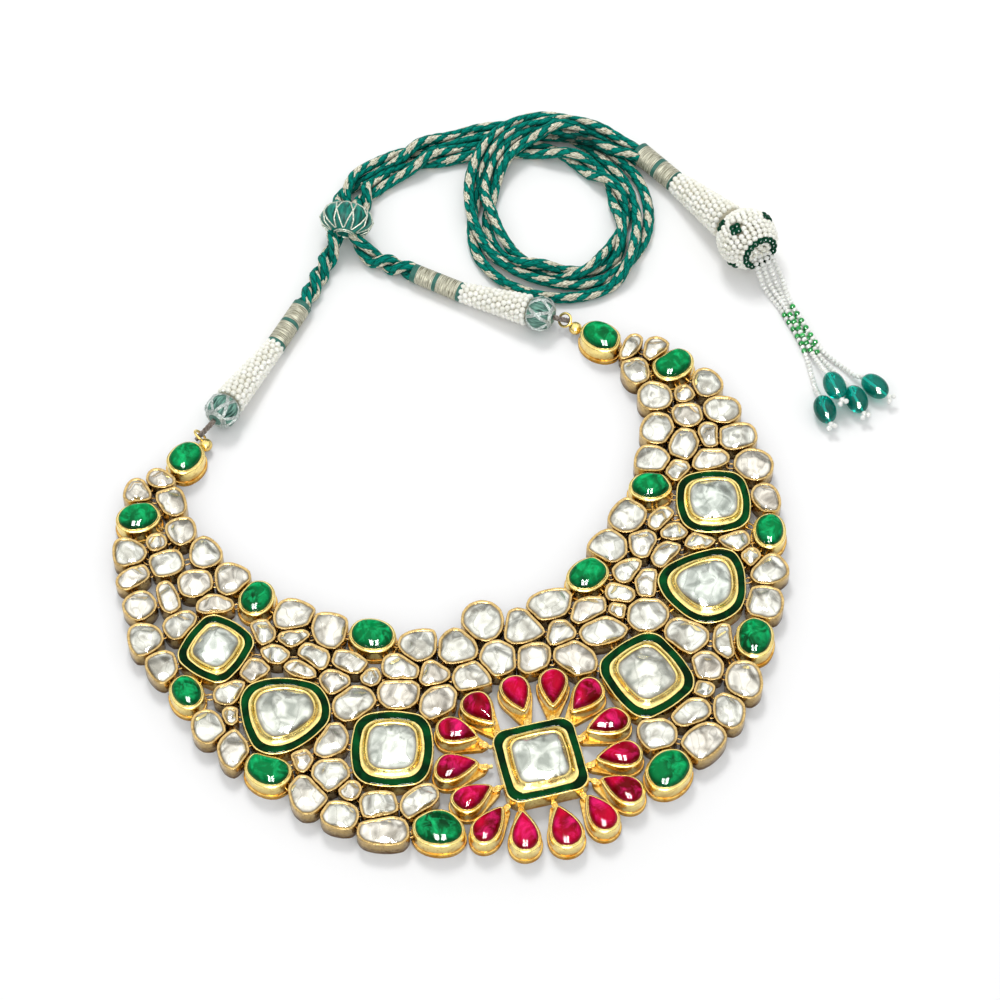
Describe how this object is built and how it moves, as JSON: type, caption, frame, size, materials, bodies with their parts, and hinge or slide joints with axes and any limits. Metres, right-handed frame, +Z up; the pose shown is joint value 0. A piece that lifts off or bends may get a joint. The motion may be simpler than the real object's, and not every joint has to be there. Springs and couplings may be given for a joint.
{
  "type": "polki bib necklace",
  "caption": "Bib necklace of foil-backed cut stones, cabochons and drops in gold collets, with enamelled frames and a braided back cord that slides through a bead to a beaded tassel.",
  "frame": {"origin": "middle of the neck opening, on the surface that the necklace rests on", "axes": "+X to the wearer's left as seen from above with the centre flower toward -Y, +Y toward the back cord, +Z up from the surface through the face of the stones"},
  "size_m": [0.2029, 0.2089, 0.0162],
  "materials": {
    "gold": "polished yellow gold",
    "polki": "foil-backed, polished",
    "enamel": "fired dark green enamel",
    "emerald": "polished cabochon",
    "ruby": "polished cabochon",
    "loop_thread": "twisted thread",
    "metal_thread": "silver-wound thread",
    "seed_pearl": "pearl lustre",
    "braid": "flat braid with beige metal thread",
    "green_glass": "polished glass"
  },
  "bodies": {
    "root": {"polki_collets_left": "gold", "polki_collets_right": "gold", "polki_stones_left": "polki", "polki_stones_right": "polki", "emerald_collets": "gold", "ruby_collets": "gold", "large_collets": "gold", "enamel_inlays": "enamel", "polki_large_1": "polki", "polki_large_2": "polki", "polki_large_3": "polki", "polki_large_4": "polki", "polki_large_5": "polki", "polki_large_6": "polki", "polki_large_7": "polki", "emerald_01": "emerald", "emerald_02": "emerald", "emerald_03": "emerald", "emerald_04": "emerald", "emerald_05": "emerald", "emerald_06": "emerald", "emerald_07": "emerald", "emerald_08": "emerald", "emerald_09": "emerald", "emerald_10": "emerald", "emerald_11": "emerald", "emerald_12": "emerald", "emerald_13": "emerald", "emerald_14": "emerald", "ruby_01": "ruby", "ruby_02": "ruby", "ruby_03": "ruby", "ruby_04": "ruby", "ruby_05": "ruby", "ruby_06": "ruby", "ruby_07": "ruby", "ruby_08": "ruby", "ruby_09": "ruby", "ruby_10": "ruby", "ruby_11": "ruby", "ruby_12": "ruby", "ruby_13": "ruby", "ruby_14": "ruby", "end_rings": "gold", "thread_loops": "loop_thread", "net_balls": "metal_thread", "pearl_sleeves": "seed_pearl", "thread_bindings": "metal_thread", "cord_left": "braid", "cord_right": "braid", "cord_tails": "braid", "cord_coil": "braid", "slider_bead": "braid", "end_ball": "seed_pearl", "tassel_strings": "seed_pearl", "tassel_bead_1": "green_glass", "tassel_bead_2": "green_glass", "tassel_bead_3": "green_glass", "tassel_bead_4": "green_glass"}
  },
  "joints": []
}
